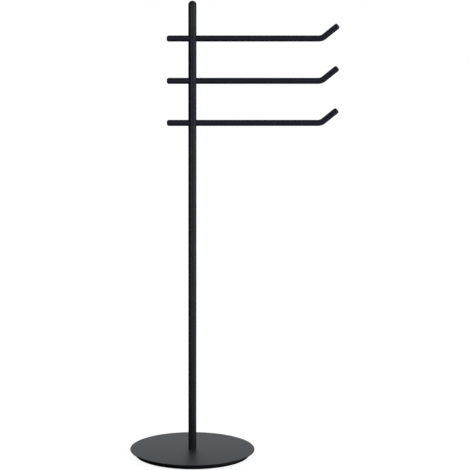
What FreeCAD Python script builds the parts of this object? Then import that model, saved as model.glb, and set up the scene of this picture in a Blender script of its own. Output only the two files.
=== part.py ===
import FreeCAD, Part
import math
import os

# Freestanding towel stand: three bent rods cross a slim post that stands on a round weighted base.
# Origin on the floor under the post's axis. +Z is up, +X is the side of the long ends of the rods,
# +Y is the rear. Sizes are millimetres.

# Whole stand
OVERALL_HEIGHT = 907.5

# Base plate, the part of the base that shows
PLATE_DIAMETER = 250.0
PLATE_THICKNESS = 2.0
PLATE_EDGE_CHAMFER = 0.8
PLATE_SKIN = 0.5  # metal left over the blind holes for the ballast screws

# Ballast disc under the plate
BALLAST_DIAMETER = 230.8
BALLAST_THICKNESS = 7.0
BALLAST_CHAMFER = 0.5

# Anti-slip ring under the ballast
PAD_THICKNESS = 2.0
PAD_INSET = 0.5  # from the ballast's rim to the pad's rim
PAD_OPENING_MARGIN = 5.0  # from the bolt's head to the pad's inner rim

# Post
POST_DIAMETER = 16.0
POST_WALL = 1.5
CAP_SPIGOT_LENGTH = 14.0
CAP_SPIGOT_CHAMFER = 0.8
INSERT_LENGTH = 32.0

# Towel arms, measured along the rod's centre line
ARM_NAMES = ("top", "middle", "bottom")
ARM_DIAMETER = 12.0
ARM_TOP_DROP = 73.5  # from the top of the stand to the axis of the top arm
ARM_SPACING = 82.5
ARM_STUB = 50.0  # from the post's axis to the short end
ARM_REACH = 252.0  # from the post's axis to the corner where the two straight runs would meet
ARM_TIP_LENGTH = 41.0  # from that corner to the long end
ARM_BEND_ANGLE = 39.0
ARM_BEND_RADIUS = 18.0
ARM_END_RADIUS = 4.0

# Bolt that holds the post to the base
BOLT_DIAMETER = 8.0
BOLT_HEAD_DIAMETER = 16.0
BOLT_HEAD_RECESS = 0.3
BOLT_ENGAGEMENT = 16.3
BOLT_SOCKET_WIDTH = 5.0
BOLT_SOCKET_DEPTH = 3.2

# Screws that hold the ballast to the plate
BALLAST_SCREW_COUNT = 3
BALLAST_SCREW_CIRCLE = 176.0
BALLAST_SCREW_DIAMETER = 3.0
BALLAST_SCREW_HEAD_DIAMETER = 6.0
BALLAST_SCREW_RECESS = 0.2
BALLAST_SCREW_SOCKET_WIDTH = 2.0
BALLAST_SCREW_SOCKET_DEPTH = 1.3

# Grub screws that lock the arms, let in from the rear of the post
GRUB_DIAMETER = 4.0
GRUB_LENGTH = 4.0
GRUB_RECESS = 0.2
GRUB_CHAMFER = 0.4
GRUB_SOCKET_WIDTH = 2.0
GRUB_SOCKET_DEPTH = 1.6

# Clearances, each one radial or along the axis
ARM_CLEARANCE = 0.05
PRESS_CLEARANCE = 0.02
THREAD_CLEARANCE = 0.05
BOLT_HOLE_CLEARANCE = 0.5
SCREW_HOLE_CLEARANCE = 0.3
SEAT_CLEARANCE = 0.05
SPOT_CLEARANCE = 0.1
TIP_CLEARANCE = 0.1

# Heights and radii that follow from the sizes above
BALLAST_BOTTOM = PAD_THICKNESS
BALLAST_TOP = BALLAST_BOTTOM + BALLAST_THICKNESS
BASE_TOP = BALLAST_TOP + PLATE_THICKNESS
POST_RADIUS = POST_DIAMETER / 2
BORE_RADIUS = POST_RADIUS - POST_WALL
TUBE_TOP = OVERALL_HEIGHT - POST_RADIUS
ARM_RADIUS = ARM_DIAMETER / 2
ARM_HEIGHTS = [OVERALL_HEIGHT - ARM_TOP_DROP - i * ARM_SPACING for i in range(len(ARM_NAMES))]
GRUB_HEAD_Y = POST_RADIUS - GRUB_RECESS
GRUB_TIP_Y = GRUB_HEAD_Y - GRUB_LENGTH
BOLT_TIP = BASE_TOP + BOLT_ENGAGEMENT
BALLAST_HOLE_TOP = BASE_TOP - PLATE_SKIN

UP = FreeCAD.Vector(0, 0, 1)
REARWARD = FreeCAD.Vector(0, 1, 0)
LONG_SIDE = FreeCAD.Vector(1, 0, 0)
CUT_OVERRUN = 1.0  # how far a cutting tool runs past the face it enters
EDGE_SHARE = 0.45  # most of a wall that one chamfer or fillet may take
SAME_PLACE = 1e-4
HEX_SIDES = 6


def point(x, y, z):
    return FreeCAD.Vector(x, y, z)


def save(shape, node):
    shape.exportStep(os.path.join("parts", node + ".step"))
    print(f"{node}: {len(shape.Solids)} solid(s), {shape.Volume:.1f} mm3, valid {shape.isValid()}")


def turned(profile):
    """Solid of revolution about +Z from (radius, height) corners."""
    corners = [point(radius, 0, height) for radius, height in profile]
    outline = Part.makePolygon(corners + corners[:1])
    return Part.Face(outline).revolve(point(0, 0, 0), UP, 360)


def ring(outer_radius, inner_radius, low, high):
    height = high - low
    body = Part.makeCylinder(outer_radius, height, point(0, 0, low))
    bore = Part.makeCylinder(inner_radius, height + 2 * CUT_OVERRUN, point(0, 0, low - CUT_OVERRUN))
    return body.cut(bore)


def edges_at(shape, radius, height):
    """Circular edges about +Z with this radius at this height."""
    found = []
    for edge in shape.Edges:
        circle = edge.Curve
        if not isinstance(circle, Part.Circle):
            continue
        same_radius = abs(circle.Radius - radius) < SAME_PLACE
        same_height = abs(circle.Center.z - height) < SAME_PLACE
        on_axis = math.hypot(circle.Center.x, circle.Center.y) < SAME_PLACE
        if same_radius and same_height and on_axis:
            found.append(edge)
    return found


def hex_socket(across_flats, mouth, depth):
    """Hexagonal recess cut upwards from a mouth at this height."""
    corner_radius = across_flats / math.sqrt(3)
    start = mouth - CUT_OVERRUN
    corners = []
    for i in range(HEX_SIDES):
        angle = 2 * math.pi * i / HEX_SIDES
        corners.append(point(corner_radius * math.cos(angle), corner_radius * math.sin(angle), start))
    outline = Part.makePolygon(corners + corners[:1])
    return Part.Face(outline).extrude(UP * (depth + CUT_OVERRUN))


def countersunk_screw(diameter, head_diameter, head_bottom, tip, socket_width, socket_depth):
    """Screw that points up, with a 90 degree head below and a hexagonal socket in it."""
    shank = diameter / 2
    head = head_diameter / 2
    body = turned([
        (0, head_bottom),
        (head, head_bottom),
        (shank, head_bottom + head - shank),
        (shank, tip),
        (0, tip),
    ])
    return body.cut(hex_socket(socket_width, head_bottom, socket_depth))


def countersunk_hole(diameter, head_diameter, head_bottom, hole_clearance, mouth, top):
    """Cutting tool for the seat of such a screw, open at the mouth and drilled through to the top."""
    head = head_diameter / 2 + SEAT_CLEARANCE
    hole = diameter / 2 + hole_clearance
    mouth_radius = head + head_bottom - mouth
    return turned([
        (0, mouth),
        (mouth_radius, mouth),
        (hole, mouth + mouth_radius - hole),
        (hole, top),
        (0, top),
    ])


def ballast_screw_places():
    """Centres of the ballast screws, evenly round their circle."""
    places = []
    for i in range(BALLAST_SCREW_COUNT):
        angle = math.radians(90 + 360 * i / BALLAST_SCREW_COUNT)
        radius = BALLAST_SCREW_CIRCLE / 2
        places.append(point(radius * math.cos(angle), radius * math.sin(angle), 0))
    return places


def moved(shape, offset):
    copy = shape.copy()
    copy.translate(offset)
    return copy


def base_plate():
    """Thin round plate with a broken edge, drilled for the bolt and blind-drilled for the screws."""
    radius = PLATE_DIAMETER / 2
    plate = ring(radius, BOLT_DIAMETER / 2 + BOLT_HOLE_CLEARANCE, BALLAST_TOP, BASE_TOP)
    rims = edges_at(plate, radius, BALLAST_TOP) + edges_at(plate, radius, BASE_TOP)
    plate = plate.makeChamfer(min(PLATE_EDGE_CHAMFER, EDGE_SHARE * PLATE_THICKNESS), rims)
    tapped_radius = BALLAST_SCREW_DIAMETER / 2 + THREAD_CLEARANCE
    for place in ballast_screw_places():
        start = place + UP * (BALLAST_TOP - CUT_OVERRUN)
        plate = plate.cut(Part.makeCylinder(tapped_radius, BALLAST_HOLE_TOP - start.z, start))
    return plate


def base_ballast():
    """Heavy disc under the plate, with a countersunk seat for the bolt and for each screw."""
    radius = BALLAST_DIAMETER / 2
    disc = Part.makeCylinder(radius, BALLAST_THICKNESS, point(0, 0, BALLAST_BOTTOM))
    disc = disc.makeChamfer(BALLAST_CHAMFER, edges_at(disc, radius, BALLAST_BOTTOM))
    top = BALLAST_TOP + CUT_OVERRUN
    bolt_seat = countersunk_hole(
        BOLT_DIAMETER, BOLT_HEAD_DIAMETER, BALLAST_BOTTOM + BOLT_HEAD_RECESS,
        BOLT_HOLE_CLEARANCE, BALLAST_BOTTOM, top)
    disc = disc.cut(bolt_seat)
    screw_seat = countersunk_hole(
        BALLAST_SCREW_DIAMETER, BALLAST_SCREW_HEAD_DIAMETER, BALLAST_BOTTOM + BALLAST_SCREW_RECESS,
        SCREW_HOLE_CLEARANCE, BALLAST_BOTTOM, top)
    for place in ballast_screw_places():
        disc = disc.cut(moved(screw_seat, place))
    return disc


def base_pad():
    """Soft ring that the stand rests on, open round the bolt so that the bolt can be reached."""
    outer = BALLAST_DIAMETER / 2 - PAD_INSET
    inner = BOLT_HEAD_DIAMETER / 2 + PAD_OPENING_MARGIN
    return ring(outer, inner, 0, BALLAST_BOTTOM)


def base_bolt():
    return countersunk_screw(
        BOLT_DIAMETER, BOLT_HEAD_DIAMETER, BALLAST_BOTTOM + BOLT_HEAD_RECESS,
        BOLT_TIP, BOLT_SOCKET_WIDTH, BOLT_SOCKET_DEPTH)


def ballast_screws():
    screw = countersunk_screw(
        BALLAST_SCREW_DIAMETER, BALLAST_SCREW_HEAD_DIAMETER, BALLAST_BOTTOM + BALLAST_SCREW_RECESS,
        BALLAST_HOLE_TOP - TIP_CLEARANCE, BALLAST_SCREW_SOCKET_WIDTH, BALLAST_SCREW_SOCKET_DEPTH)
    return Part.makeCompound([moved(screw, place) for place in ballast_screw_places()])


def post_tube():
    """Upright tube, cross-drilled for the three arms and tapped at the rear for their grub screws."""
    tube = ring(POST_RADIUS, BORE_RADIUS, BASE_TOP, TUBE_TOP)
    cross_radius = ARM_RADIUS + ARM_CLEARANCE
    tapped_radius = GRUB_DIAMETER / 2 + THREAD_CLEARANCE
    half_drill = POST_RADIUS + CUT_OVERRUN
    for height in ARM_HEIGHTS:
        crossing = Part.makeCylinder(cross_radius, 2 * half_drill, point(-half_drill, 0, height), LONG_SIDE)
        tapping = Part.makeCylinder(tapped_radius, half_drill, point(0, 0, height), REARWARD)
        tube = tube.cut(crossing).cut(tapping)
    return tube


def post_cap():
    """Domed plug whose spigot sits in the tube's upper end."""
    spigot = BORE_RADIUS - PRESS_CLEARANCE
    foot = TUBE_TOP - CAP_SPIGOT_LENGTH
    plug = turned([
        (0, foot),
        (spigot - CAP_SPIGOT_CHAMFER, foot),
        (spigot, foot + CAP_SPIGOT_CHAMFER),
        (spigot, TUBE_TOP),
        (0, TUBE_TOP),
    ])
    dome = Part.makeSphere(POST_RADIUS, point(0, 0, TUBE_TOP), UP, 0, 90, 360)
    return plug.fuse(dome).removeSplitter()


def post_foot_insert():
    """Threaded plug in the tube's lower end, flush with it, that the base bolt pulls down."""
    bore = BOLT_DIAMETER / 2 + THREAD_CLEARANCE
    return ring(BORE_RADIUS - PRESS_CLEARANCE, bore, BASE_TOP, BASE_TOP + INSERT_LENGTH)


def arm_centre_line(height):
    """Straight run, one bend up and a short straight tip."""
    angle = math.radians(ARM_BEND_ANGLE)
    setback = ARM_BEND_RADIUS * math.tan(angle / 2)
    corner = point(ARM_REACH, 0, height)
    tip_way = point(math.cos(angle), 0, math.sin(angle))
    bend_centre = corner + point(-setback, 0, ARM_BEND_RADIUS)
    half_way = point(math.sin(angle / 2), 0, -math.cos(angle / 2))
    bend_start = corner - LONG_SIDE * setback
    bend_end = corner + tip_way * setback
    run = Part.LineSegment(point(-ARM_STUB, 0, height), bend_start)
    bend = Part.Arc(bend_start, bend_centre + half_way * ARM_BEND_RADIUS, bend_end)
    tip = Part.LineSegment(bend_end, corner + tip_way * ARM_TIP_LENGTH)
    return Part.Wire([run.toShape(), bend.toShape(), tip.toShape()])


def towel_arm(height):
    """Bent rod with rounded ends and a spot hole at the rear that takes the grub screw's point."""
    profile = Part.Wire([Part.makeCircle(ARM_RADIUS, point(-ARM_STUB, 0, height), LONG_SIDE)])
    rod = arm_centre_line(height).makePipeShell([profile], True, False)
    end_faces = [face for face in rod.Faces if isinstance(face.Surface, Part.Plane)]
    end_edges = [edge for face in end_faces for edge in face.Edges]
    rod = rod.makeFillet(min(ARM_END_RADIUS, EDGE_SHARE * ARM_DIAMETER), end_edges)
    spot_radius = GRUB_DIAMETER / 2 + SPOT_CLEARANCE
    spot_floor = GRUB_TIP_Y - TIP_CLEARANCE
    spot = Part.makeCylinder(spot_radius, POST_RADIUS - spot_floor, point(0, spot_floor, height), REARWARD)
    return rod.cut(spot)


def arm_grub_screw(height):
    """Headless screw along -Y with its socket at the rear and its flat point in the arm."""
    radius = GRUB_DIAMETER / 2
    body = turned([
        (0, 0),
        (radius, 0),
        (radius, GRUB_LENGTH - GRUB_CHAMFER),
        (radius - GRUB_CHAMFER, GRUB_LENGTH),
        (0, GRUB_LENGTH),
    ])
    screw = body.cut(hex_socket(GRUB_SOCKET_WIDTH, 0, GRUB_SOCKET_DEPTH))
    screw.rotate(point(0, 0, 0), LONG_SIDE, 90)
    screw.translate(point(0, GRUB_HEAD_Y, height))
    return screw


def main():
    os.makedirs("parts", exist_ok=True)
    save(base_plate(), "base_plate")
    save(base_ballast(), "base_ballast")
    save(base_pad(), "base_pad")
    save(base_bolt(), "base_bolt")
    save(ballast_screws(), "ballast_screws")
    save(post_tube(), "post_tube")
    save(post_cap(), "post_cap")
    save(post_foot_insert(), "post_foot_insert")
    for name, height in zip(ARM_NAMES, ARM_HEIGHTS):
        save(towel_arm(height), "towel_arm_" + name)
    save(Part.makeCompound([arm_grub_screw(height) for height in ARM_HEIGHTS]), "arm_grub_screws")


main()
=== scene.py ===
"""Dressed model of a freestanding towel stand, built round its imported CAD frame.

Three bent rods cross a slim post on a round weighted base. The frame's origin is on the floor
under the post's axis, +Z is up, +X is the side of the rods' long ends and +Y is the rear.
"""

import logging
import math
from dataclasses import dataclass, field
from enum import Enum
from typing import Callable, Sequence, Union

import bmesh
import bpy
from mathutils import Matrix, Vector


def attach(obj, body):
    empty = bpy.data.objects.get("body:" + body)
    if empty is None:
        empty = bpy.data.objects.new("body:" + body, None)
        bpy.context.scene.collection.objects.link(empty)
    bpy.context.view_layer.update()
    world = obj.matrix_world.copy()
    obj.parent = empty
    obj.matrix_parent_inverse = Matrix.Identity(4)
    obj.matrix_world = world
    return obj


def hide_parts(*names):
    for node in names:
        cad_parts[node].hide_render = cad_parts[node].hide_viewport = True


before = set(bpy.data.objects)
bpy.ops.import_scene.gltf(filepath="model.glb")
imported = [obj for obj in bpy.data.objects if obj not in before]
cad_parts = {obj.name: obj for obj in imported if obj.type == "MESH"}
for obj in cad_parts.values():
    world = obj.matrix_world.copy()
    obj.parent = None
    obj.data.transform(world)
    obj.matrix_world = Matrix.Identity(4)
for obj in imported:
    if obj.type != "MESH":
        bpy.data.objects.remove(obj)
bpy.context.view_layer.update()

LOG = logging.getLogger("towel_stand")

MM = 0.001
NEAR = 0.02 * MM
MERGE = 0.001 * MM
SAME_SCALE = 1e-9
HEX_SIDES = 6
ROOT_BODY = "root"
ROD_HEIGHTS = {"top": 834.0 * MM, "middle": 751.5 * MM, "bottom": 669.0 * MM}

Point = tuple[float, float, float]
Colour = tuple[float, float, float]
Profile = Sequence[tuple[float, float]]
Span = tuple[float, float]

CLOUD_SPAN: Span = (0.35, 0.65)
GRAIN_SPAN: Span = (0.3, 0.7)


class Element(Enum):
    """What an edit-mode selection is made of."""

    EDGE = "EDGE"
    FACE = "FACE"


class Slot(Enum):
    """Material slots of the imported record."""

    POWDER_COAT = "black_powder_coat"
    BALLAST = "black_ballast"
    RUBBER = "black_rubber"
    ZINC = "zinc_steel"
    BLACK_OXIDE = "black_oxide_steel"


# --------------------------------------------------------------------------- bench work


class Bench:
    """Hand tools that work on the one object being made."""

    @staticmethod
    def clear() -> None:
        """Leave edit mode and deselect everything."""
        if bpy.context.object is not None and bpy.context.object.mode != "OBJECT":
            bpy.ops.object.mode_set(mode="OBJECT")
        bpy.ops.object.select_all(action="DESELECT")

    @staticmethod
    def take(obj: bpy.types.Object) -> None:
        """Make one object the only selected one, and active.

        Args:
            obj: The object.
        """
        Bench.clear()
        obj.select_set(True)
        bpy.context.view_layer.objects.active = obj

    @staticmethod
    def start(name: str) -> bpy.types.Object:
        """Name the primitive just added, move its place into its mesh and open it for editing.

        Args:
            name: Name of the new piece.

        Returns:
            The object, in edit mode with everything selected.
        """
        obj = bpy.context.object
        obj.name = name
        obj.data.name = name
        bpy.ops.object.transform_apply(location=True, rotation=True, scale=True)
        bpy.ops.object.mode_set(mode="EDIT")
        bpy.ops.mesh.select_all(action="SELECT")
        return obj

    @staticmethod
    def pick(element: Element, test: Callable[[Vector], bool]) -> None:
        """Select the elements of the open mesh whose corners all pass a test.

        Args:
            element: Kind of element to select.
            test: Takes a corner's place and says whether it belongs.
        """
        bpy.ops.mesh.select_mode(type=element.value)
        bpy.ops.mesh.select_all(action="DESELECT")
        mesh = bmesh.from_edit_mesh(bpy.context.object.data)
        for item in mesh.edges if element is Element.EDGE else mesh.faces:
            if all(test(vertex.co) for vertex in item.verts):
                item.select = True
        mesh.select_flush_mode()
        bmesh.update_edit_mesh(bpy.context.object.data)

    @staticmethod
    def pick_ring(radius: float, height: float) -> None:
        """Select the circular edge about +Z at a radius and height."""
        Bench.pick(
            Element.EDGE,
            lambda p: abs(p.z - height) < NEAR and abs(math.hypot(p.x, p.y) - radius) < NEAR)

    @staticmethod
    def round_picked(size: float, steps: int) -> None:
        """Round the selected edges."""
        bpy.ops.mesh.bevel(offset=size, segments=steps, profile=0.5, affect="EDGES")

    @staticmethod
    def turn(name: str, profile: Profile, segments: int) -> bpy.types.Object:
        """Turn a profile about +Z by extruding and resizing one ring.

        Args:
            name: Name of the new piece.
            profile: (radius, height) corners. A profile that starts or ends on the axis is closed
                there, and one that ends where it starts makes a ring with a bore.
            segments: Corners round each ring.

        Returns:
            The object, in edit mode.
        """
        from_axis = profile[0][0] < NEAR
        rings = list(profile[1:] if from_axis else profile)
        radius, height = rings[0]
        Bench.clear()
        bpy.ops.mesh.primitive_circle_add(vertices=segments, radius=radius, location=(0, 0, height))
        obj = Bench.start(name)
        for next_radius, next_height in rings[1:]:
            lift = {"value": (0, 0, next_height - height)}
            bpy.ops.mesh.extrude_region_move(TRANSFORM_OT_translate=lift)
            if next_radius < NEAR:
                bpy.ops.mesh.merge(type="CENTER")
                break
            scale = next_radius / radius
            if abs(scale - 1) > SAME_SCALE:
                bpy.ops.transform.resize(value=(scale, scale, 1), center_override=(0, 0, next_height))
            radius, height = next_radius, next_height
        if from_axis:
            first_radius, first_height = rings[0]
            Bench.pick_ring(first_radius, first_height)
            drop = {"value": (0, 0, profile[0][1] - first_height)}
            bpy.ops.mesh.extrude_region_move(TRANSFORM_OT_translate=drop)
            bpy.ops.mesh.merge(type="CENTER")
        bpy.ops.mesh.select_all(action="SELECT")
        bpy.ops.mesh.remove_doubles(threshold=MERGE)
        bpy.ops.mesh.normals_make_consistent(inside=False)
        return obj

    @staticmethod
    def cut(obj: bpy.types.Object, tool: bpy.types.Object) -> None:
        """Cut one object with another and throw the tool away.

        Args:
            obj: What is cut.
            tool: What cuts it.
        """
        Bench.take(obj)
        modifier = obj.modifiers.new("cut", "BOOLEAN")
        modifier.operation = "DIFFERENCE"
        modifier.solver = "EXACT"
        modifier.object = tool
        bpy.ops.object.modifier_apply(modifier=modifier.name)
        bpy.data.objects.remove(tool)

    @staticmethod
    def drill(radius: float, start: Point, length: float, along: Point, sides: int) -> bpy.types.Object:
        """Straight cutting tool.

        Args:
            radius: Radius to its corners.
            start: Centre of its first end.
            length: How far it reaches.
            along: Unit direction from the first end.
            sides: Corners round it.

        Returns:
            The tool, in object mode.
        """
        direction = Vector(along)
        middle = Vector(start) + direction * length / 2
        Bench.clear()
        bpy.ops.mesh.primitive_cylinder_add(
            vertices=sides, radius=radius, depth=length, location=middle,
            rotation=direction.to_track_quat("Z", "Y").to_euler())
        tool = Bench.start("tool")
        Bench.clear()
        return tool

    @staticmethod
    def copy(obj: bpy.types.Object, name: str, offset: Point) -> bpy.types.Object:
        """Copy a piece with its own mesh, and move the copy's mesh.

        Args:
            obj: The piece.
            name: Name of the copy.
            offset: How far to move it.

        Returns:
            The copy.
        """
        Bench.take(obj)
        bpy.ops.object.duplicate(linked=False)
        twin = bpy.context.object
        twin.name = name
        twin.data.name = name
        bpy.ops.transform.translate(value=offset)
        bpy.ops.object.transform_apply(location=True, rotation=True, scale=True)
        Bench.clear()
        return twin

    @staticmethod
    def repeat_down_post(first: bpy.types.Object, name: str) -> dict[str, bpy.types.Object]:
        """Copy a piece made at the top rod to the other two rods.

        Args:
            first: The piece at the top rod.
            name: What all three names start with.

        Returns:
            The three pieces, by the name of their rod.
        """
        pieces = {"top": first}
        for place, height in ROD_HEIGHTS.items():
            if place not in pieces:
                drop = (0, 0, height - ROD_HEIGHTS["top"])
                pieces[place] = Bench.copy(first, f"{name}_{place}", drop)
        return pieces

    @staticmethod
    def shade(obj: bpy.types.Object, angle: float = 32.0) -> None:
        """Shade smoothly across edges flatter than an angle.

        Args:
            obj: The piece.
            angle: The angle, in degrees.
        """
        Bench.take(obj)
        bpy.ops.object.shade_smooth_by_angle(angle=math.radians(angle))
        Bench.clear()

    @staticmethod
    def hand_over(
            obj: bpy.types.Object, slot: Slot, finish: bpy.types.Material, nodes: Sequence[str]) -> None:
        """Dress a finished piece, set it on the frame and report it.

        Args:
            obj: The finished piece.
            slot: Material slot of the record. Not used.
            finish: Material to dress it in.
            nodes: CAD nodes that it stands for.
        """
        obj.data.materials.clear()
        obj.data.materials.append(finish)
        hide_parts(*nodes)
        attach(obj, ROOT_BODY)
        LOG.info("%s: %d faces, stands for %s", obj.name, len(obj.data.polygons), ", ".join(nodes))


# --------------------------------------------------------------------------- node trees


Value = Union[float, bpy.types.NodeSocket]


class Wiring:
    """Short hand for building one node tree. Its methods take and give output sockets."""

    def __init__(self, tree: bpy.types.NodeTree) -> None:
        """Start with an empty tree."""
        self.tree = tree
        tree.nodes.clear()

    def add(self, kind: str, **settings: object) -> bpy.types.Node:
        """Add a node and set its properties.

        Args:
            kind: Type of the node.
            **settings: Properties, by name.

        Returns:
            The node.
        """
        node = self.tree.nodes.new(kind)
        for name, setting in settings.items():
            setattr(node, name, setting)
        return node

    def feed(self, target: bpy.types.NodeSocket, value: object) -> None:
        """Link an output to an input, or set the input to a constant.

        Args:
            target: The input.
            value: An output, or the constant.
        """
        if isinstance(value, bpy.types.NodeSocket):
            self.tree.links.new(value, target)
        else:
            target.default_value = value

    def maths(self, operation: str, *values: Value, clamp: bool = False) -> bpy.types.NodeSocket:
        """One step of arithmetic on up to three values.

        Args:
            operation: Name of the step.
            *values: What it works on.
            clamp: Whether to hold the result between 0 and 1.

        Returns:
            The result.
        """
        node = self.add("ShaderNodeMath", operation=operation, use_clamp=clamp)
        for target, value in zip(node.inputs, values):
            self.feed(target, value)
        return node.outputs[0]

    def spread(self, value: Value, start: float, end: float, low: Value = 0.0, high: Value = 1.0,
               soft: bool = False) -> bpy.types.NodeSocket:
        """Map a value from one range to another, held at its ends.

        Args:
            value: What to map.
            start: Value that becomes low.
            end: Value that becomes high.
            low: Result at the start.
            high: Result at the end.
            soft: Whether to ease in and out.

        Returns:
            The mapped value.
        """
        node = self.add("ShaderNodeMapRange", interpolation_type="SMOOTHSTEP" if soft else "LINEAR")
        for name, given in zip(("Value", "From Min", "From Max", "To Min", "To Max"),
                               (value, start, end, low, high)):
            self.feed(node.inputs[name], given)
        return node.outputs[0]

    def blend(self, share: Value, first: object, second: object) -> bpy.types.NodeSocket:
        """Colour between two colours, each a constant or an output.

        Args:
            share: Share of the second colour.
            first: First colour.
            second: Second colour.

        Returns:
            The mixed colour.
        """
        node = self.add("ShaderNodeMix", data_type="RGBA")
        self.feed(node.inputs[0], share)
        for number, colour in ((6, first), (7, second)):
            self.feed(node.inputs[number], (*colour, 1.0) if isinstance(colour, tuple) else colour)
        return node.outputs[2]


class Coat(Wiring):
    """Node tree of one material, with its shader and object coordinates."""

    def __init__(self, name: str) -> None:
        """Make an empty material with a shader and an output.

        Args:
            name: Name of the material.
        """
        self.material = bpy.data.materials.new(name)
        self.material.use_nodes = True
        super().__init__(self.material.node_tree)
        self.shader = self.add("ShaderNodeBsdfPrincipled")
        self.feed(self.add("ShaderNodeOutputMaterial").inputs["Surface"], self.shader.outputs[0])
        self.place = self.add("ShaderNodeTexCoord").outputs["Object"]

    def noise(self, per_mm: float, detail: float, roughness: float = 0.5) -> bpy.types.NodeSocket:
        """Noise on object coordinates.

        Args:
            per_mm: Scale, per millimetre.
            detail: Octaves of finer noise on it.
            roughness: Strength of each octave against the one before.

        Returns:
            The noise.
        """
        node = self.add("ShaderNodeTexNoise")
        self.feed(node.inputs["Vector"], self.place)
        self.feed(node.inputs["Scale"], per_mm / MM)
        self.feed(node.inputs["Detail"], detail)
        self.feed(node.inputs["Roughness"], roughness)
        return node.outputs["Fac"]

    def cells(self, per_mm: float) -> bpy.types.NodeSocket:
        """Distance to the nearest of scattered points.

        Args:
            per_mm: How many points there are to a millimetre.

        Returns:
            The distance.
        """
        node = self.add("ShaderNodeTexVoronoi")
        self.feed(node.inputs["Vector"], self.place)
        self.feed(node.inputs["Scale"], per_mm / MM)
        return node.outputs["Distance"]

    def dress(self, **inputs: object) -> None:
        """Set or feed the shader's inputs.

        Args:
            **inputs: Values by the inputs' names, with underscores for spaces.
        """
        for name, value in inputs.items():
            given = (*value, 1.0) if isinstance(value, tuple) else value
            self.feed(self.shader.inputs[name.replace("_", " ")], given)

    def bump(self, height: bpy.types.NodeSocket, strength: float, depth_mm: float) -> None:
        """Raise the surface by a value.

        Args:
            height: The value.
            strength: How far it turns the surface.
            depth_mm: Height of a value of 1, in millimetres.
        """
        node = self.add("ShaderNodeBump")
        self.feed(node.inputs["Strength"], strength)
        self.feed(node.inputs["Distance"], depth_mm * MM)
        self.feed(node.inputs["Height"], height)
        self.feed(self.shader.inputs["Normal"], node.outputs[0])


# --------------------------------------------------------------------------- finishes


@dataclass(frozen=True)
class PowderCoat:
    """Fine satin powder coat: a soft orange peel with a finer grain on it, worn on the edges."""

    name: str = "powder_coat_finish"
    deep: Colour = (0.0043, 0.0044, 0.0086)
    pale: Colour = (0.0060, 0.0062, 0.0116)
    worn: Colour = (0.014, 0.0145, 0.017)
    smooth: float = 0.33
    matt: float = 0.41
    specular: float = 0.25
    cloud_per_mm: float = 0.018
    peel_per_mm: float = 0.55
    grain_per_mm: float = 3.2
    grain_share: float = 0.35
    edge_span: Span = (0.515, 0.56)
    relief: float = 0.5
    depth_mm: float = 0.012

    def build(self) -> bpy.types.Material:
        """Make the material.

        Returns:
            The material.
        """
        coat = Coat(self.name)
        cloud = coat.noise(self.cloud_per_mm, 3.0)
        peel = coat.noise(self.peel_per_mm, 2.0)
        grain = coat.noise(self.grain_per_mm, 2.0, 0.6)
        body = coat.blend(coat.spread(cloud, *CLOUD_SPAN), self.deep, self.pale)
        edge = coat.spread(coat.add("ShaderNodeNewGeometry").outputs["Pointiness"], *self.edge_span)
        coat.dress(
            Base_Color=coat.blend(edge, body, self.worn),
            Roughness=coat.spread(grain, *GRAIN_SPAN, self.smooth, self.matt),
            Specular_IOR_Level=self.specular)
        height = coat.maths("MULTIPLY_ADD", grain, self.grain_share, peel)
        coat.bump(height, self.relief, self.depth_mm)
        return coat.material


@dataclass(frozen=True)
class CastPaint:
    """Matt black paint over the grainy skin of a cast disc."""

    name: str = "cast_paint_finish"
    deep: Colour = (0.0030, 0.0030, 0.0034)
    pale: Colour = (0.0066, 0.0066, 0.0073)
    smooth: float = 0.52
    matt: float = 0.66
    specular: float = 0.21
    cloud_per_mm: float = 0.03
    sand_per_mm: float = 1.1
    relief: float = 0.6
    depth_mm: float = 0.08

    def build(self) -> bpy.types.Material:
        """Make the material.

        Returns:
            The material.
        """
        coat = Coat(self.name)
        cloud = coat.noise(self.cloud_per_mm, 4.0, 0.6)
        sand = coat.noise(self.sand_per_mm, 5.0, 0.7)
        coat.dress(
            Base_Color=coat.blend(coat.spread(cloud, *CLOUD_SPAN), self.deep, self.pale),
            Roughness=coat.spread(sand, *GRAIN_SPAN, self.smooth, self.matt),
            Specular_IOR_Level=self.specular)
        coat.bump(sand, self.relief, self.depth_mm)
        return coat.material


@dataclass(frozen=True)
class Rubber:
    """Plain anti-slip rubber with a pebbled skin."""

    name: str = "rubber_finish"
    deep: Colour = (0.009, 0.009, 0.009)
    pale: Colour = (0.021, 0.021, 0.020)
    smooth: float = 0.8
    matt: float = 0.95
    specular: float = 0.2
    dust_per_mm: float = 0.05
    dust_span: Span = (0.4, 0.7)
    pebbles_per_mm: float = 0.7
    relief: float = 0.6
    depth_mm: float = 0.12

    def build(self) -> bpy.types.Material:
        """Make the material.

        Returns:
            The material.
        """
        coat = Coat(self.name)
        dust = coat.noise(self.dust_per_mm, 5.0, 0.65)
        coat.dress(
            Base_Color=coat.blend(coat.spread(dust, *self.dust_span), self.deep, self.pale),
            Roughness=coat.spread(dust, *GRAIN_SPAN, self.smooth, self.matt),
            Specular_IOR_Level=self.specular)
        coat.bump(coat.cells(self.pebbles_per_mm), self.relief, self.depth_mm)
        return coat.material


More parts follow.
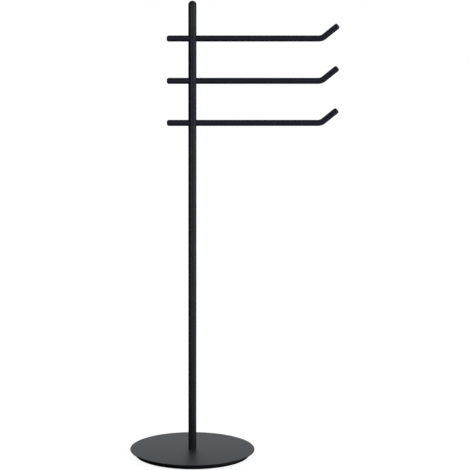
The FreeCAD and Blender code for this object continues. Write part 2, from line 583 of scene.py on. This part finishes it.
@dataclass(frozen=True)
class PlatedSteel:
    """Plated or blackened steel with fine marks left by turning."""

    name: str
    deep: Colour
    pale: Colour
    bright: float
    dull: float
    cloud_per_mm: float = 0.25
    marks_per_mm: float = 5.0
    relief: float = 0.3
    depth_mm: float = 0.01

    def build(self) -> bpy.types.Material:
        """Make the material.

        Returns:
            The material.
        """
        coat = Coat(self.name)
        cloud = coat.noise(self.cloud_per_mm, 4.0, 0.6)
        coat.dress(
            Base_Color=coat.blend(coat.spread(cloud, *CLOUD_SPAN), self.deep, self.pale),
            Roughness=coat.spread(cloud, *GRAIN_SPAN, self.bright, self.dull),
            Metallic=1.0)
        coat.bump(coat.noise(self.marks_per_mm, 2.0, 0.6), self.relief, self.depth_mm)
        return coat.material


@dataclass(frozen=True)
class Finishes:
    """The stand's materials, each made once. The flat plate's coat is a little rougher than the tubes'."""

    powder: bpy.types.Material = field(default_factory=lambda: PowderCoat().build())
    plate: bpy.types.Material = field(default_factory=lambda: PowderCoat(
        name="plate_coat_finish", smooth=0.42, matt=0.50).build())
    cast: bpy.types.Material = field(default_factory=lambda: CastPaint().build())
    rubber: bpy.types.Material = field(default_factory=lambda: Rubber().build())
    zinc: bpy.types.Material = field(default_factory=lambda: PlatedSteel(
        "zinc_finish", (0.50, 0.52, 0.55), (0.64, 0.65, 0.67), 0.24, 0.38).build())
    oxide: bpy.types.Material = field(default_factory=lambda: PlatedSteel(
        "black_oxide_finish", (0.020, 0.020, 0.022), (0.040, 0.040, 0.043), 0.35, 0.5).build())


# --------------------------------------------------------------------------- the stand


@dataclass
class Base:
    """Thin plate, ballast disc and rubber ring."""

    plate_radius: float = 125.0 * MM
    plate_bottom: float = 9.0 * MM
    plate_top: float = 11.0 * MM
    plate_rounding: float = 0.9 * MM
    plate_rounding_steps: int = 6
    bolt_hole: float = 4.5 * MM
    ballast_radius: float = 115.4 * MM
    ballast_bottom: float = 2.0 * MM
    ballast_edge: float = 0.5 * MM
    seat_mouth: float = 8.35 * MM
    pad_radius: float = 114.9 * MM
    pad_opening: float = 13.0 * MM
    pad_rounding: float = 0.3 * MM
    soft_edge_steps: int = 3
    segments: int = 240

    def plate(self) -> bpy.types.Object:
        """Turn the plate, then round both edges of its rim.

        Returns:
            The piece.
        """
        obj = Bench.turn("base_plate_rounded", (
            (self.bolt_hole, self.plate_top),
            (self.plate_radius, self.plate_top),
            (self.plate_radius, self.plate_bottom),
            (self.bolt_hole, self.plate_bottom),
            (self.bolt_hole, self.plate_top),
        ), self.segments)
        for height in (self.plate_top, self.plate_bottom):
            Bench.pick_ring(self.plate_radius, height)
            Bench.round_picked(self.plate_rounding, self.plate_rounding_steps)
        Bench.shade(obj)
        return obj

    def ballast(self) -> bpy.types.Object:
        """Turn the disc with its countersunk seat, then break its lower edge.

        Returns:
            The piece.
        """
        seat_end = self.ballast_bottom + self.seat_mouth - self.bolt_hole
        obj = Bench.turn("ballast_disc", (
            (self.bolt_hole, self.plate_bottom),
            (self.ballast_radius, self.plate_bottom),
            (self.ballast_radius, self.ballast_bottom),
            (self.seat_mouth, self.ballast_bottom),
            (self.bolt_hole, seat_end),
            (self.bolt_hole, self.plate_bottom),
        ), self.segments)
        Bench.pick_ring(self.ballast_radius, self.ballast_bottom)
        Bench.round_picked(self.ballast_edge, self.soft_edge_steps)
        Bench.shade(obj)
        return obj

    def pad(self) -> bpy.types.Object:
        """Turn the ring and soften its edges.

        Returns:
            The piece.
        """
        obj = Bench.turn("anti_slip_ring", (
            (self.pad_opening, self.ballast_bottom),
            (self.pad_radius, self.ballast_bottom),
            (self.pad_radius, 0.0),
            (self.pad_opening, 0.0),
            (self.pad_opening, self.ballast_bottom),
        ), self.segments)
        for radius in (self.pad_radius, self.pad_opening):
            Bench.pick_ring(radius, 0.0)
            Bench.round_picked(self.pad_rounding, self.soft_edge_steps)
        Bench.shade(obj)
        return obj

    def build(self, finishes: Finishes) -> None:
        """Make and dress all three.

        Args:
            finishes: The stand's materials.
        """
        Bench.hand_over(self.plate(), Slot.POWDER_COAT, finishes.plate, ["base_plate"])
        Bench.hand_over(self.ballast(), Slot.BALLAST, finishes.cast, ["base_ballast"])
        Bench.hand_over(self.pad(), Slot.RUBBER, finishes.rubber, ["base_pad"])


@dataclass
class Post:
    """Upright tube, cross-drilled for the rods, and its domed cap."""

    radius: float = 8.0 * MM
    bore: float = 6.5 * MM
    foot: float = 11.0 * MM
    top: float = 899.5 * MM
    crossing_radius: float = 6.05 * MM
    tapped_radius: float = 2.05 * MM
    collar: float = 9.0 * MM
    spigot_radius: float = 6.48 * MM
    spigot_length: float = 14.0 * MM
    spigot_chamfer: float = 0.8 * MM
    drill_reach: float = 12.0 * MM
    segments: int = 96
    crossing_segments: int = 72
    tapped_segments: int = 40
    dome_steps: int = 20

    def tube(self) -> bpy.types.Object:
        """Turn the tube with a ring either side of each crossing, then drill it.

        Returns:
            The piece.
        """
        crossings = ROD_HEIGHTS.values()
        stops = sorted(height + side * self.collar for height in crossings for side in (-1, 1))
        outer = [(self.radius, height) for height in (self.foot, *stops, self.top)]
        inner = [(self.bore, height) for height in (self.top, *reversed(stops), self.foot)]
        obj = Bench.turn("post_tube_drilled", (*outer, *inner, outer[0]), self.segments)
        Bench.clear()
        reach = self.drill_reach
        for height in crossings:
            Bench.cut(obj, Bench.drill(
                self.crossing_radius, (-reach, 0, height), 2 * reach, (1, 0, 0), self.crossing_segments))
            Bench.cut(obj, Bench.drill(
                self.tapped_radius, (0, 0, height), reach, (0, 1, 0), self.tapped_segments))
        Bench.shade(obj)
        return obj

    def cap(self) -> bpy.types.Object:
        """Turn the dome and its spigot.

        Returns:
            The piece.
        """
        foot = self.top - self.spigot_length
        dome = []
        for step in range(self.dome_steps + 1):
            angle = math.pi / 2 * step / self.dome_steps
            dome.append((self.radius * math.cos(angle), self.top + self.radius * math.sin(angle)))
        dome[-1] = (0.0, self.top + self.radius)
        obj = Bench.turn("post_cap_domed", (
            (0.0, foot),
            (self.spigot_radius - self.spigot_chamfer, foot),
            (self.spigot_radius, foot + self.spigot_chamfer),
            (self.spigot_radius, self.top),
            *dome,
        ), self.segments)
        Bench.shade(obj)
        return obj

    def build(self, finishes: Finishes) -> None:
        """Make and dress both.

        Args:
            finishes: The stand's materials.
        """
        Bench.hand_over(self.tube(), Slot.POWDER_COAT, finishes.powder, ["post_tube"])
        Bench.hand_over(self.cap(), Slot.POWDER_COAT, finishes.powder, ["post_cap"])


@dataclass
class TowelArms:
    """Three equal rods through the post, each bent up near its long end."""

    radius: float = 6.0 * MM
    stub: float = 50.0 * MM
    reach: float = 252.0 * MM
    tip: float = 41.0 * MM
    bend: float = math.radians(39.0)
    bend_radius: float = 18.0 * MM
    rounding: float = 4.0 * MM
    spot_radius: float = 2.1 * MM
    spot_floor: float = 3.7 * MM
    segments: int = 72
    bend_steps: int = 18
    rounding_steps: int = 9
    spot_segments: int = 40

    def rod(self) -> bpy.types.Object:
        """Make the top rod: a straight run, a spun bend and a straight tip, rounded at both ends.

        Returns:
            The piece.
        """
        height = ROD_HEIGHTS["top"]
        setback = self.bend_radius * math.tan(self.bend / 2)
        bend_start = self.reach - setback
        way = Vector((math.cos(self.bend), 0, math.sin(self.bend)))
        Bench.clear()
        bpy.ops.mesh.primitive_cylinder_add(
            vertices=self.segments, radius=self.radius, depth=self.stub + bend_start,
            location=((bend_start - self.stub) / 2, 0, height), rotation=(0, math.pi / 2, 0))
        obj = Bench.start("towel_rod_top")
        Bench.pick(Element.FACE, lambda p: abs(p.x - bend_start) < NEAR)
        bpy.ops.mesh.delete(type="ONLY_FACE")
        Bench.pick(Element.EDGE, lambda p: abs(p.x - bend_start) < NEAR)
        bpy.ops.mesh.spin(
            steps=self.bend_steps, angle=self.bend, axis=(0, 1, 0),
            center=(bend_start, 0, height + self.bend_radius))
        bpy.ops.mesh.extrude_region_move(
            TRANSFORM_OT_translate={"value": way * (self.tip - setback)})
        bpy.ops.mesh.edge_face_add()
        end = Vector((self.reach, 0, height)) + way * self.tip
        Bench.pick(Element.EDGE, lambda p: abs((p - end).dot(way)) < NEAR)
        Bench.round_picked(self.rounding, self.rounding_steps)
        Bench.pick(Element.EDGE, lambda p: abs(p.x + self.stub) < NEAR)
        Bench.round_picked(self.rounding, self.rounding_steps)
        bpy.ops.mesh.select_all(action="SELECT")
        bpy.ops.mesh.remove_doubles(threshold=MERGE)
        bpy.ops.mesh.normals_make_consistent(inside=False)
        Bench.cut(obj, Bench.drill(
            self.spot_radius, (0, self.spot_floor, height), self.radius, (0, 1, 0), self.spot_segments))
        Bench.shade(obj)
        return obj

    def build(self, finishes: Finishes) -> None:
        """Make the first rod, copy it down the post and dress all three.

        Args:
            finishes: The stand's materials.
        """
        for name, rod in Bench.repeat_down_post(self.rod(), "towel_rod").items():
            Bench.hand_over(rod, Slot.POWDER_COAT, finishes.powder, [f"towel_arm_{name}"])


@dataclass
class Hardware:
    """Screws that hold the stand together."""

    bolt_radius: float = 4.0 * MM
    bolt_head: float = 8.0 * MM
    bolt_bottom: float = 2.3 * MM
    bolt_tip: float = 27.3 * MM
    bolt_tip_chamfer: float = 0.8 * MM
    bolt_rim: float = 0.15 * MM
    bolt_rim_steps: int = 2
    bolt_segments: int = 96
    bolt_socket: float = 5.0 * MM
    bolt_socket_depth: float = 3.2 * MM
    grub_radius: float = 2.0 * MM
    grub_length: float = 4.0 * MM
    grub_head: float = 7.8 * MM
    grub_chamfer: float = 0.4 * MM
    grub_rim: float = 0.25 * MM
    grub_socket: float = 2.0 * MM
    grub_socket_depth: float = 1.6 * MM
    grub_segments: int = 48
    overcut: float = 1.0 * MM

    def bolt(self) -> bpy.types.Object:
        """Turn the countersunk bolt and sink its socket from below.

        Returns:
            The piece.
        """
        cone_end = self.bolt_bottom + self.bolt_head - self.bolt_radius
        obj = Bench.turn("base_bolt_countersunk", (
            (0.0, self.bolt_bottom),
            (self.bolt_head, self.bolt_bottom),
            (self.bolt_radius, cone_end),
            (self.bolt_radius, self.bolt_tip - self.bolt_tip_chamfer),
            (self.bolt_radius - self.bolt_tip_chamfer, self.bolt_tip),
            (0.0, self.bolt_tip),
        ), self.bolt_segments)
        Bench.pick_ring(self.bolt_head, self.bolt_bottom)
        Bench.round_picked(self.bolt_rim, self.bolt_rim_steps)
        Bench.clear()
        Bench.cut(obj, Bench.drill(
            self.bolt_socket / math.sqrt(3), (0, 0, self.bolt_bottom - self.overcut),
            self.bolt_socket_depth + self.overcut, (0, 0, 1), HEX_SIDES))
        Bench.shade(obj)
        return obj

    def grub_screw(self) -> bpy.types.Object:
        """Turn the top grub screw and sink its socket, then lay it in the rear of the post.

        Returns:
            The piece.
        """
        obj = Bench.turn("grub_screw_top", (
            (0.0, 0.0),
            (self.grub_radius - self.grub_rim, 0.0),
            (self.grub_radius, self.grub_rim),
            (self.grub_radius, self.grub_length - self.grub_chamfer),
            (self.grub_radius - self.grub_chamfer, self.grub_length),
            (0.0, self.grub_length),
        ), self.grub_segments)
        Bench.clear()
        Bench.cut(obj, Bench.drill(
            self.grub_socket / math.sqrt(3), (0, 0, -self.overcut),
            self.grub_socket_depth + self.overcut, (0, 0, 1), HEX_SIDES))
        Bench.take(obj)
        obj.rotation_euler = (math.pi / 2, 0, 0)
        obj.location = (0, self.grub_head, ROD_HEIGHTS["top"])
        bpy.ops.object.transform_apply(location=True, rotation=True, scale=True)
        Bench.shade(obj)
        return obj

    def build(self, finishes: Finishes) -> None:
        """Make and dress the screws, and dress the hidden CAD nodes that stay.

        Args:
            finishes: The stand's materials.
        """
        Bench.hand_over(self.bolt(), Slot.ZINC, finishes.zinc, ["base_bolt"])
        for screw in Bench.repeat_down_post(self.grub_screw(), "grub_screw").values():
            Bench.hand_over(screw, Slot.BLACK_OXIDE, finishes.oxide, ["arm_grub_screws"])
        for name in ("ballast_screws", "post_foot_insert"):
            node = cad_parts[name]
            node.data.materials.clear()
            node.data.materials.append(finishes.zinc)
            LOG.info("%s: CAD node kept, dressed in %s", name, finishes.zinc.name)


# --------------------------------------------------------------------------- the studio


@dataclass(frozen=True)
class Window:
    """One soft window of light in the surroundings.

    Its middle is an azimuth in degrees, 0 on the camera's side and 90 on the side of the rods' long
    ends. Its sill and head are elevations in degrees, and its light fades over the blur at each edge.
    """

    middle: float
    width: float
    sill: float
    head: float
    blur: float
    strength: float


@dataclass
class Studio:
    """Pale floor, white surroundings with soft windows of light, and the camera."""

    floor_radius: float = 1.10
    floor_opening: float = 0.1146
    floor_segments: int = 240
    floor_glow: float = 0.88
    floor_sheen: float = 0.41
    floor_pool: Span = (-0.10, 0.25)
    floor_colour: Colour = (0.80, 0.80, 0.80)
    floor_shade: Colour = (0.25, 0.25, 0.25)
    fill: float = 0.07
    light_colour: Colour = (0.91, 0.985, 1.045)
    lens: float = 155.505
    sensor_width: float = 36.0
    camera_place: Point = (0.0, -3.96045, 1.11012)
    camera_pitch: float = 9.51609
    camera_shift: float = 0.0907
    windows: tuple[Window, ...] = (
        Window(68.0, 52.0, -46.0, 48.0, 14.0, 1.62),
        Window(-26.0, 16.0, -40.0, 14.0, 6.0, 3.0),
        Window(16.0, 56.0, -40.0, 28.0, 10.0, 0.54),
        Window(18.0, 76.0, 28.0, 56.0, 12.0, 1.12),
        Window(180.0, 84.0, 4.0, 58.0, 8.0, 0.95),
        Window(-90.0, 70.0, 38.0, 66.0, 12.0, 1.2),
    )

    def camera(self) -> None:
        """Stand the camera where the photograph was taken from."""
        data = bpy.data.cameras.new("photo_camera")
        data.lens = self.lens
        data.sensor_fit = "HORIZONTAL"
        data.sensor_width = self.sensor_width
        data.shift_x = self.camera_shift
        camera = bpy.data.objects.new("photo_camera", data)
        camera.location = self.camera_place
        camera.rotation_euler = (math.radians(90 - self.camera_pitch), 0, 0)
        bpy.context.scene.collection.objects.link(camera)
        bpy.context.scene.camera = camera

    def floor_material(self) -> bpy.types.Material:
        """Pale floor that stays white to the camera and still takes the stand's shadow.

        Gloss sees it as a pool of light on the side of the rods' long ends, as with a black flag set
        up on the other side. It has only an upper face, so the stand's underside shows from below.

        Returns:
            The material.
        """
        material = bpy.data.materials.new("pale_floor")
        material.use_nodes = True
        wiring = Wiring(material.node_tree)
        path = wiring.add("ShaderNodeLightPath").outputs
        seen = wiring.maths("ADD", path["Is Camera Ray"], path["Is Transmission Ray"], clamp=True)
        across = wiring.add("ShaderNodeSeparateXYZ")
        wiring.feed(across.inputs[0], wiring.add("ShaderNodeTexCoord").outputs["Object"])
        pool = wiring.spread(across.outputs["X"], *self.floor_pool, 0.0, self.floor_sheen, soft=True)
        diffuse = wiring.add("ShaderNodeBsdfDiffuse")
        wiring.feed(diffuse.inputs["Color"], wiring.blend(seen, self.floor_colour, self.floor_shade))
        white = wiring.add("ShaderNodeEmission")
        wiring.feed(white.inputs["Strength"], wiring.maths("MULTIPLY", seen, self.floor_glow))
        plain = wiring.add("ShaderNodeAddShader")
        wiring.feed(plain.inputs[0], diffuse.outputs[0])
        wiring.feed(plain.inputs[1], white.outputs[0])
        sheen = wiring.add("ShaderNodeEmission")
        wiring.feed(sheen.inputs["Strength"], pool)
        floor = wiring.add("ShaderNodeMixShader")
        wiring.feed(floor.inputs[0], path["Is Glossy Ray"])
        wiring.feed(floor.inputs[1], plain.outputs[0])
        wiring.feed(floor.inputs[2], sheen.outputs[0])
        under = wiring.add("ShaderNodeNewGeometry").outputs["Backfacing"]
        one_sided = wiring.add("ShaderNodeMixShader")
        wiring.feed(one_sided.inputs[0], wiring.maths("MULTIPLY", seen, under))
        wiring.feed(one_sided.inputs[1], floor.outputs[0])
        wiring.feed(one_sided.inputs[2], wiring.add("ShaderNodeBsdfTransparent").outputs[0])
        wiring.feed(wiring.add("ShaderNodeOutputMaterial").inputs["Surface"], one_sided.outputs[0])
        return material

    def floor(self) -> None:
        """Lay the floor, open where the stand covers it so that light reaches the underside."""
        Bench.clear()
        bpy.ops.mesh.primitive_circle_add(
            vertices=self.floor_segments, radius=self.floor_radius, fill_type="NGON", location=(0, 0, 0))
        obj = Bench.start("floor")
        bpy.ops.mesh.inset(thickness=self.floor_radius - self.floor_opening)
        bpy.ops.mesh.delete(type="FACE")
        Bench.clear()
        obj.data.materials.append(self.floor_material())

    def surround(self) -> None:
        """White surroundings for the camera, and a dark room with soft windows for the light."""
        world = bpy.data.worlds.new("surround")
        world.use_nodes = True
        bpy.context.scene.world = world
        wiring = Wiring(world.node_tree)
        way = wiring.add("ShaderNodeSeparateXYZ")
        wiring.feed(way.inputs[0], wiring.add("ShaderNodeTexCoord").outputs["Generated"])
        forward = wiring.maths("MULTIPLY", way.outputs["Y"], -1.0)
        azimuth = wiring.maths("DEGREES", wiring.maths("ARCTAN2", way.outputs["X"], forward))
        height = wiring.maths("DEGREES", wiring.maths("ARCSINE", way.outputs["Z"]))
        light: Value = self.fill
        for window in self.windows:
            off = wiring.maths("SUBTRACT", azimuth, window.middle)
            off = wiring.maths("ABSOLUTE", wiring.maths("WRAP", off, 180.0, -180.0))
            half = window.width / 2
            across = wiring.spread(off, half + window.blur, half - window.blur, soft=True)
            low = wiring.spread(height, window.sill - window.blur, window.sill + window.blur, soft=True)
            top = wiring.spread(height, window.head + window.blur, window.head - window.blur, soft=True)
            share = wiring.maths("MULTIPLY", across, wiring.maths("MULTIPLY", low, top))
            light = wiring.maths("MULTIPLY_ADD", share, window.strength, light)
        path = wiring.add("ShaderNodeLightPath").outputs
        seen = wiring.maths("ADD", path["Is Camera Ray"], path["Is Transmission Ray"], clamp=True)
        background = wiring.add("ShaderNodeBackground")
        wiring.feed(background.inputs["Color"], wiring.blend(seen, self.light_colour, (1.0, 1.0, 1.0)))
        wiring.feed(background.inputs["Strength"], wiring.spread(seen, 0.0, 1.0, light, 1.0))
        wiring.feed(wiring.add("ShaderNodeOutputWorld").inputs["Surface"], background.outputs[0])

    def build(self) -> None:
        """Set up the whole studio."""
        self.camera()
        self.floor()
        self.surround()
        bpy.context.scene.view_settings.view_transform = "Standard"
        LOG.info("studio: floor, surroundings with %d windows and camera", len(self.windows))


def main() -> None:
    """Build the stand and its studio."""
    logging.basicConfig(level=logging.INFO, format="%(message)s")
    Studio().build()
    finishes = Finishes()
    Base().build(finishes)
    Post().build(finishes)
    TowelArms().build(finishes)
    Hardware().build(finishes)
    Bench.clear()


if __name__ == "__main__":
    main()
